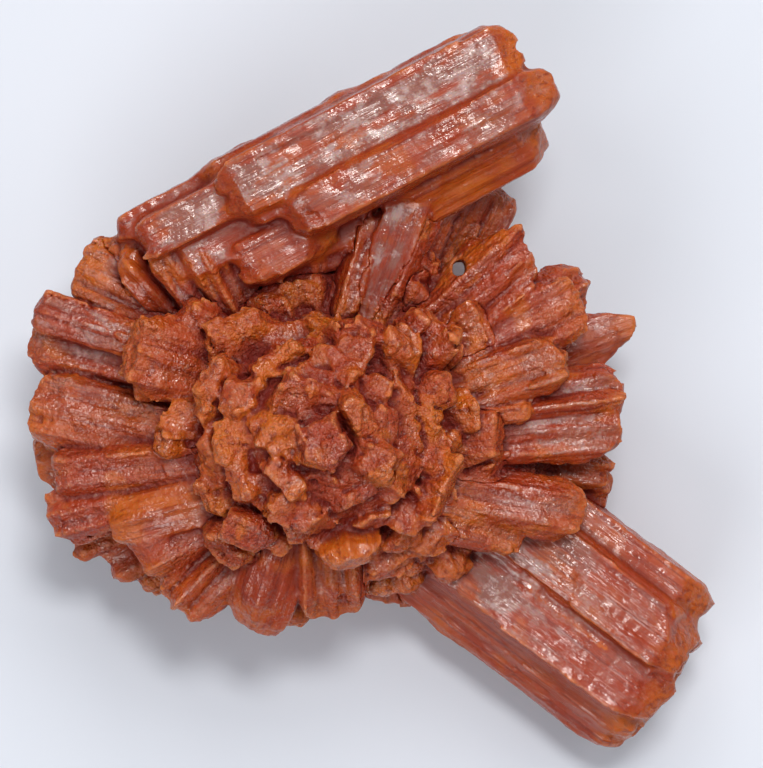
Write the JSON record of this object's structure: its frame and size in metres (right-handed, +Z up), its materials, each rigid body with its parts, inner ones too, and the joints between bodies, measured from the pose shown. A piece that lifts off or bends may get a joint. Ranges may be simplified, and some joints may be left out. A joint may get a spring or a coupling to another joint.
{
  "type": "aragonite cluster",
  "caption": "Red-brown aragonite cluster: a half-ball rosette of blunt radiating crystals with two sheaves of long flat prisms, resting on a broken base.",
  "frame": {"origin": "on the surface it rests on, under the middle of the cluster's bounding box", "axes": "+Z up, out of the rosette's top; +Y towards the upper sheaf of prisms; +X towards the end of the lower sheaf"},
  "size_m": [0.0608, 0.0623, 0.0318],
  "materials": {
    "aragonite": "semi-gloss"
  },
  "bodies": {
    "root": {"aragonite_cluster": "aragonite"}
  },
  "joints": []
}
